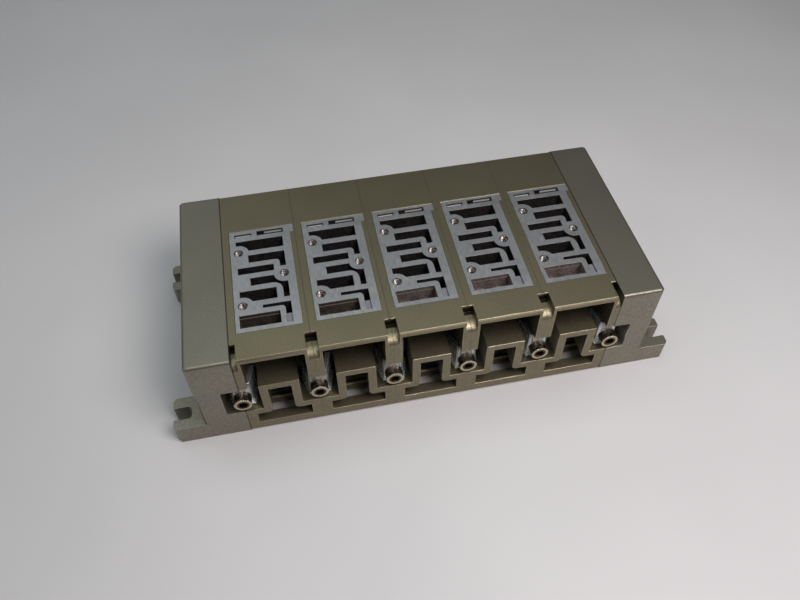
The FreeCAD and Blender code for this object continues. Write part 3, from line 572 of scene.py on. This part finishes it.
def block_finish():
    """Paint of the station blocks, with the milled valve face and the bare ports in it."""
    g = Finish("block_finish")
    place = g.place()
    x, y, z = station_place(g, place)
    colour, metallic, roughness, grain = block_paint(g, place, x, y, z)
    over = g.inside(x, y, VALVE_FACE)
    level = g.both(g.above(z, FACE_TOP - FACE_BAND), g.under(z, FACE_TOP + FACE_BAND))
    below = g.both(g.above(z, PORTS_FROM), g.under(z, FACE_TOP - FACE_BAND))
    milled, bare = g.both(over, level), g.both(over, below)
    silver, shine = milled_silver(g, place, x, y)
    top = g.mix(milled, colour, with_rim_shade(g, x, y, silver))
    metal = g.either(milled, bare)
    rounding = g.softened(g.blend(metal, PAINT_ROUNDING, METAL_ROUNDING))
    g.set(base_color=g.mix(bare, top, port_skin_and_light(g, place, x, y, z)),
          metallic=g.blend(bare, g.blend(milled, metallic, MILLED_METALLIC), PORT_METALLIC),
          roughness=g.blend(bare, g.blend(milled, roughness, shine), PORT_ROUGHNESS),
          normal=g.bump(grain, g.blend(metal, PAINT_BUMP, METAL_BUMP), BUMP_DEPTH, rounding))
    return g.material


dress([name for name in nodes if name.startswith("station_block")], block_finish())

# %% [markdown]
# ## Wedge clamps
#
# The clamps are zinc-plated steel, bluish white, with fine scratches along their height. Towards
# the top, where they lie under the roof, they are painted darker: a painted shade of the roof. The
# plating is only part metallic: a full metal would mirror the dark recess and lose the white that
# the real clamps show.

# %% Zinc finish of the clamps
SCRATCHES, SCRATCH_BUMP, SCRATCH_DEPTH = (900.0, 900.0, 90.0), 0.05, 0.1 * MM
ZINC_CLOUD = 220.0
ZINC = ((0.66, 0.72, 0.76), (0.86, 0.91, 0.95))
ZINC_METALLIC, ZINC_ROUGHNESS = 0.65, (0.16, 0.32)
ZINC_ROUNDING = 0.4 * MM
# Painted shade: the clamps grow darker towards the top, under the roof.
ROOF_SHADE, ROOF_SHADE_SHARE, ROOF_SHADE_HEIGHTS = (0.10, 0.105, 0.11), 0.75, (29 * MM, 36 * MM)
METAL_EDGE = (0.05, 0.25)
ZINC_EDGE = (0.95, 0.97, 1.0)


def clamp_finish():
    """Zinc-plated steel: bluish white, lightly scratched, and painted darker towards the top as
    painted shade of the roof.
    """
    g = Finish("clamp_zinc_finish")
    place = g.place()
    parts = g.split(place)
    drawn_out = [g.math("MULTIPLY", part, scale) for part, scale in zip(parts, SCRATCHES)]
    scratch = g.noise(g.join(*drawn_out), 1.0, FINE)
    colour = g.mottled(g.noise(place, ZINC_CLOUD), *ZINC)
    # Painted shade of the roof, darker towards the top.
    colour = g.mix(g.ramp(parts[2], *ROOF_SHADE_HEIGHTS, 0.0, ROOF_SHADE_SHARE), colour, ROOF_SHADE)
    g.set(base_color=g.mix(g.edge(*METAL_EDGE), colour, ZINC_EDGE), metallic=ZINC_METALLIC,
          roughness=g.spread(scratch, *ZINC_ROUGHNESS),
          normal=g.bump(scratch, SCRATCH_BUMP, SCRATCH_DEPTH, g.softened(ZINC_ROUNDING)))
    return g.material


dress([name for name in nodes if name.startswith(("front_clamp", "rear_clamp"))], clamp_finish())

# %% [markdown]
# ## Clamp screws
#
# Each seam is drawn together by a long socket screw, dark and oily, with a knurled head and a
# bright ring round its face; its socket is painted nearly black, a painted shade inside the hole.
# The knurl is a sine of the angle about the screw's axis, as a bump: 44 ribs would need many facets
# for a head of a few pixels. All screws share one height, and a modulo brings each one's axis to
# zero.

# %% Finish of the clamp screws
STEEL_CLOUD = 500.0
SCREW_STEEL = ((0.15, 0.12, 0.09), (0.32, 0.26, 0.20))
STEEL_ROUGHNESS = (0.24, 0.42)
RING = (0.46, 0.41, 0.30)
SCREW_EDGE = (0.90, 0.84, 0.70)
# Painted shade: the socket and its mouth are painted nearly black.
SOCKET_SHADE = (0.055, 0.038, 0.018)
SOCKET_REACH = 3.0 * MM
SOCKET_FLOOR = -52.8 * MM
HEAD_FACE = -55.4 * MM
HEAD_SIDE = 4.15 * MM
KNURLS, KNURL_BUMP, KNURL_DEPTH = 44.0, 0.4, 0.15 * MM
SCREW_ROUNDING = 0.5 * MM


def screw_finish():
    """Dark, oiled socket screws with a knurled head, a bright ring and a socket painted black as
    painted shade.
    """
    g = Finish("clamp_screw_finish")
    place = g.place()
    x, y, z = g.split(place)
    folded = g.math("FLOORED_MODULO", g.math("SUBTRACT", x, SEAMS[0] - PITCH / 2), PITCH)
    across, rise = g.math("SUBTRACT", folded, PITCH / 2), g.math("SUBTRACT", z, SCREW_AXIS)
    reach = g.length(across, rise)
    knurl = g.math("SINE", g.math("MULTIPLY", g.math("ARCTAN2", rise, across), KNURLS))
    socket = g.both(g.under(reach, SOCKET_REACH), g.under(y, SOCKET_FLOOR))
    cloud = g.noise(place, STEEL_CLOUD, FINE)
    colour = g.mix(g.under(y, HEAD_FACE), g.mottled(cloud, *SCREW_STEEL), RING)
    colour = g.mix(g.edge(*METAL_EDGE), colour, SCREW_EDGE)
    ribs = g.both(knurl, g.above(reach, HEAD_SIDE))
    # The socket gets painted shade.
    g.set(base_color=g.mix(socket, colour, SOCKET_SHADE), metallic=1.0,
          roughness=g.spread(cloud, *STEEL_ROUGHNESS),
          normal=g.bump(ribs, KNURL_BUMP, KNURL_DEPTH, g.softened(SCREW_ROUNDING)))
    return g.material


dress([name for name in nodes if name.startswith("clamp_screw")], screw_finish())

# %% [markdown]
# ## Seam gaskets
#
# A moulded rubber gasket lies in each seam. Only its rim could ever be seen, so a plain matt black
# with a fine grain is enough.

# %% Rubber of the gaskets
RUBBER = ((0.012, 0.012, 0.012), (0.03, 0.03, 0.03))
RUBBER_GRAIN, RUBBER_ROUGHNESS = 900.0, (0.6, 0.8)
RUBBER_BUMP, RUBBER_DEPTH = 0.1, 0.1 * MM


def rubber_finish():
    """Black moulded rubber."""
    g = Finish("gasket_rubber_finish")
    grain = g.noise(g.place(), RUBBER_GRAIN)
    g.set(base_color=g.mix(grain, *RUBBER), roughness=g.spread(grain, *RUBBER_ROUGHNESS),
          normal=g.bump(grain, RUBBER_BUMP, RUBBER_DEPTH))
    return g.material


dress([name for name in nodes if name.startswith("seam_gasket")], rubber_finish())

# %% [markdown]
# ## A thread, as geometry nodes
#
# The solids have plain bores at tapping size. A thread is a crest that winds up the bore, so one
# small node group makes them all: it winds a spiral, sweeps a round profile along it and sets a
# copy into every bore of a kind. A screw modifier could wind one crest too, but would need an
# object for each hole. The group's inputs are the thread's own sizes.

# %% Build the thread group
THREAD_INPUTS = (
    ("Radius", "NodeSocketFloat"),
    ("Pitch", "NodeSocketFloat"),
    ("Length", "NodeSocketFloat"),
    ("Crest", "NodeSocketFloat"),
    ("Turn", "NodeSocketVector"),
    ("Material", "NodeSocketMaterial"),
)
POINTS_A_TURN = 28
CREST_SIDES = 6


def thread_group():
    """Spirals set on points: the points come in as a mesh, the threads go out as one."""
    group = bpy.data.node_groups.new("threads_on_points", "GeometryNodeTree")
    face = group.interface
    face.new_socket("Geometry", in_out="INPUT", socket_type="NodeSocketGeometry")
    for name, kind in THREAD_INPUTS:
        face.new_socket(name, in_out="INPUT", socket_type=kind)
    face.new_socket("Geometry", in_out="OUTPUT", socket_type="NodeSocketGeometry")

    def add(kind, values=()):
        node = group.nodes.new(kind)
        for name, value in values:
            node.inputs[name].default_value = value
        return node

    given, result = add("NodeGroupInput"), add("NodeGroupOutput")
    turns = add("ShaderNodeMath")
    turns.operation = "DIVIDE"
    spiral = add("GeometryNodeCurveSpiral", (("Resolution", POINTS_A_TURN),))
    profile = add("GeometryNodeCurvePrimitiveCircle", (("Resolution", CREST_SIDES),))
    sweep = add("GeometryNodeCurveToMesh", (("Fill Caps", True),))
    copies = add("GeometryNodeInstanceOnPoints")
    real = add("GeometryNodeRealizeInstances")
    coat = add("GeometryNodeSetMaterial")
    links = (
        (given.outputs["Length"], turns.inputs[0]),
        (given.outputs["Pitch"], turns.inputs[1]),
        (turns.outputs[0], spiral.inputs["Rotations"]),
        (given.outputs["Radius"], spiral.inputs["Start Radius"]),
        (given.outputs["Radius"], spiral.inputs["End Radius"]),
        (given.outputs["Length"], spiral.inputs["Height"]),
        (given.outputs["Crest"], profile.inputs["Radius"]),
        (spiral.outputs[0], sweep.inputs["Curve"]),
        (profile.outputs[0], sweep.inputs["Profile Curve"]),
        (given.outputs["Geometry"], copies.inputs["Points"]),
        (sweep.outputs[0], copies.inputs["Instance"]),
        (given.outputs["Turn"], copies.inputs["Rotation"]),
        (copies.outputs[0], real.inputs[0]),
        (real.outputs[0], coat.inputs["Geometry"]),
        (given.outputs["Material"], coat.inputs["Material"]),
        (coat.outputs[0], result.inputs[0]),
    )
    for start, end in links:
        group.links.new(start, end)
    return group


group = thread_group()
print("thread group:", len(group.nodes), "nodes,", len(THREAD_INPUTS), "sizes")

# %% [markdown]
# ## Setting threads into bores
#
# The bores of a kind come in as loose points, the modifier's inputs are set by their identifiers,
# and the evaluated result is kept as a plain mesh, because the export drops instances. Each kind
# becomes one piece that rides with the row.

# %% Set threads into bores
CREST_SHARE = 0.26
BORE_ROOM = 0.02 * MM


def cut_threads(name, places, turn, thread, length, material):
    """One piece with the crests of all threads of a kind, each starting at its place."""
    bore, pitch = thread
    crest = pitch * CREST_SHARE
    points = bpy.data.meshes.new(f"{name}_points")
    points.from_pydata([Vector(place) for place in places], [], [])
    carrier = bpy.data.objects.new(f"{name}_points", points)
    bpy.context.scene.collection.objects.link(carrier)
    modifier = carrier.modifiers.new("threads", "NODES")
    modifier.node_group = group
    given = {"Radius": bore / 2 - crest - BORE_ROOM, "Pitch": pitch, "Length": length,
             "Crest": crest, "Turn": turn, "Material": material}
    for item in group.interface.items_tree:
        if item.in_out == "INPUT" and item.name in given:
            modifier[item.identifier] = given[item.name]
    bpy.context.view_layer.update()
    seen = carrier.evaluated_get(bpy.context.evaluated_depsgraph_get())
    mesh = bpy.data.meshes.new_from_object(seen)
    bpy.data.objects.remove(carrier)
    mesh.name = name
    piece = bpy.data.objects.new(name, mesh)
    bpy.context.scene.collection.objects.link(piece)
    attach(piece, "root")
    print(name, len(places), "threads,", len(mesh.polygons), "faces")
    return piece


print("a crest is", CREST_SHARE, "of its pitch")

# %% [markdown]
# ## Bare thread metal
#
# A freshly cut thread is bright and slightly oily. Those of the valve screws are paler and a little
# warmer, partly a painted highlight for the light they catch, and those of the ports are duller.
# One material for all would be simpler, but the screw threads would look dull at their size, so one
# function makes both from two tones.

# %% Two thread metals
THREAD_CLOUD = 900.0
THREAD_METALLIC, THREAD_ROUGHNESS = (0.7, 1.0), (0.18, 0.34)


def thread_metal(name, dark, light):
    """Freshly cut, slightly oily thread."""
    g = Finish(name)
    cloud = g.noise(g.place(), THREAD_CLOUD)
    g.set(base_color=g.mottled(cloud, dark, light), metallic=g.spread(cloud, *THREAD_METALLIC),
          roughness=g.spread(cloud, *THREAD_ROUGHNESS))
    return g.material


# Partly painted highlight: the valve screw threads get the paler, warmer tones.
bright = thread_metal("valve_screw_thread_metal", (0.50, 0.44, 0.42), (0.86, 0.80, 0.78))
dull = thread_metal("port_thread_metal", (0.34, 0.35, 0.37), (0.55, 0.56, 0.60))
print(bright.name, "and", dull.name)

# %% [markdown]
# ## Threads of the valve screws and the ports
#
# Valve screws and pilot fittings are M5, all other ports G1/4. A thread is given by its bore at
# tapping size and its pitch. It starts near the bottom of its bore and ends just below the
# surface, so nothing stands proud of a sealing face.

# %% Cut all threads
M5 = (4.2 * MM, 0.8 * MM)
G_QUARTER = (11.8 * MM, 1.337 * MM)
SCREW_START, SCREW_LENGTH = 8.3 * MM, 7.9 * MM
PORT_START, PORT_LENGTH = 12.4 * MM, 11.6 * MM
PILOT_START, PILOT_LENGTH = 8.6 * MM, 8.0 * MM
PORT_HEIGHT, PILOT_HEIGHT = 10.5 * MM, 44 * MM
CYLINDER_PORTS = (9.25, 27.75)
END_PORTS = ((36.85, 38), (53.3, 43), (70.05, 38))
PILOT_PORTS = (21, 29.45)
QUARTER_TURN = math.pi / 2

face_bores = [(seam + x * MM, FRONT + y * MM, FACE_TOP - SCREW_START)
              for seam in SEAMS[:-1] for x, y in FACE_SCREWS]
cut_threads("valve_screw_threads", face_bores, (0, 0, 0), M5, SCREW_LENGTH, bright)
port_bores = [(seam + x * MM, BACK - PORT_START, PORT_HEIGHT)
              for seam in SEAMS[:-1] for x in CYLINDER_PORTS]
cut_threads("cylinder_port_threads", port_bores, (-QUARTER_TURN, 0, 0), G_QUARTER,
            PORT_LENGTH, dull)
for side, sign in (("left", -1), ("right", 1)):
    end_bores = [(sign * (END - PORT_START), FRONT + y * MM, z * MM) for y, z in END_PORTS]
    cut_threads(f"{side}_end_port_threads", end_bores,
                (0, sign * QUARTER_TURN, 0), G_QUARTER, PORT_LENGTH, dull)
pilot_bores = [(PILOT_START - END, FRONT + y * MM, PILOT_HEIGHT) for y in PILOT_PORTS]
cut_threads("pilot_port_threads", pilot_bores, (0, -QUARTER_TURN, 0), M5,
            PILOT_LENGTH, dull)

# %% [markdown]
# ## Table
#
# The row stands on a pale laminate. It is large enough that its edge is never near the row, and it
# has a faint cloud and a soft gloss, because a perfectly even floor looks drawn.

# %% Table top
TABLE_HALF = 2.5
TABLE_TONES = ((0.565, 0.555, 0.565), (0.595, 0.585, 0.595))
TABLE_CLOUD, TABLE_ROUGHNESS = 7.0, (0.5, 0.54)


def add_table():
    """A large pale table top."""
    mesh = bpy.data.meshes.new("table_top")
    h = TABLE_HALF
    mesh.from_pydata([(-h, -h, 0), (h, -h, 0), (h, h, 0), (-h, h, 0)], [], [(0, 1, 2, 3)])
    table = bpy.data.objects.new("table_top", mesh)
    bpy.context.scene.collection.objects.link(table)
    g = Pattern("table_laminate")
    cloud = g.noise(g.place(), TABLE_CLOUD, FINE)
    g.set(base_color=g.mottled(cloud, *TABLE_TONES),
          roughness=g.spread(cloud, *TABLE_ROUGHNESS))
    mesh.materials.append(g.material)
    return table


add_table()
print("table top", 2 * TABLE_HALF, "m wide")

# %% [markdown]
# ## Light
#
# A warm lamp from the front right gives the highlights and reaches under the roofs, a panel
# overhead lights the tops, and two weak cool lamps from the left fill the shadow beside the row.
# Each one's power came from rendering it alone and finding the sum that comes nearest to the
# photograph. One large soft lamp would be simpler, but the recesses would stay dark.

# %% Lamps and surroundings
# Each lamp: its name, place, aim, width in metres, power in watts and colour.
LAMPS = (
    ("front_lamp", (0.175, -0.26, 0.50), (0.02, -0.04, 0), 0.28, 2.55, (1.0, 0.935, 0.925)),
    ("overhead_panel", (0, 0.05, 1.0), (0, 0, 0), 0.8, 3.3, (0.92, 1.0, 0.985)),
    ("back_left_lamp", (-0.45, 0.65, 0.62), (0, 0, 0), 0.7, 0.65, (0.90, 0.98, 1.0)),
    ("left_lamp", (-0.9, -0.1, 0.5), (0, 0, 0), 0.7, 1.0, (0.94, 0.99, 1.0)),
)
SURROUNDINGS = (0.9, 0.93, 1.0, 1)
SURROUNDINGS_STRENGTH = 0.05


def add_area(name, at, aim, width, power, colour):
    """A square lamp that faces a point."""
    data = bpy.data.lights.new(name, "AREA")
    data.size, data.energy, data.color = width, power, colour
    lamp = bpy.data.objects.new(name, data)
    lamp.location = at
    lamp.rotation_euler = (Vector(aim) - Vector(at)).to_track_quat("-Z", "Y").to_euler()
    bpy.context.scene.collection.objects.link(lamp)


def add_world():
    """Even pale surroundings."""
    world = bpy.data.worlds.new("surroundings")
    world.use_nodes = True
    background = world.node_tree.nodes["Background"]
    background.inputs["Color"].default_value = SURROUNDINGS
    background.inputs["Strength"].default_value = SURROUNDINGS_STRENGTH
    bpy.context.scene.world = world


for lamp in LAMPS:
    add_area(*lamp)
add_world()
bpy.context.scene.view_settings.view_transform = "Standard"
print("lamps:", len(LAMPS))
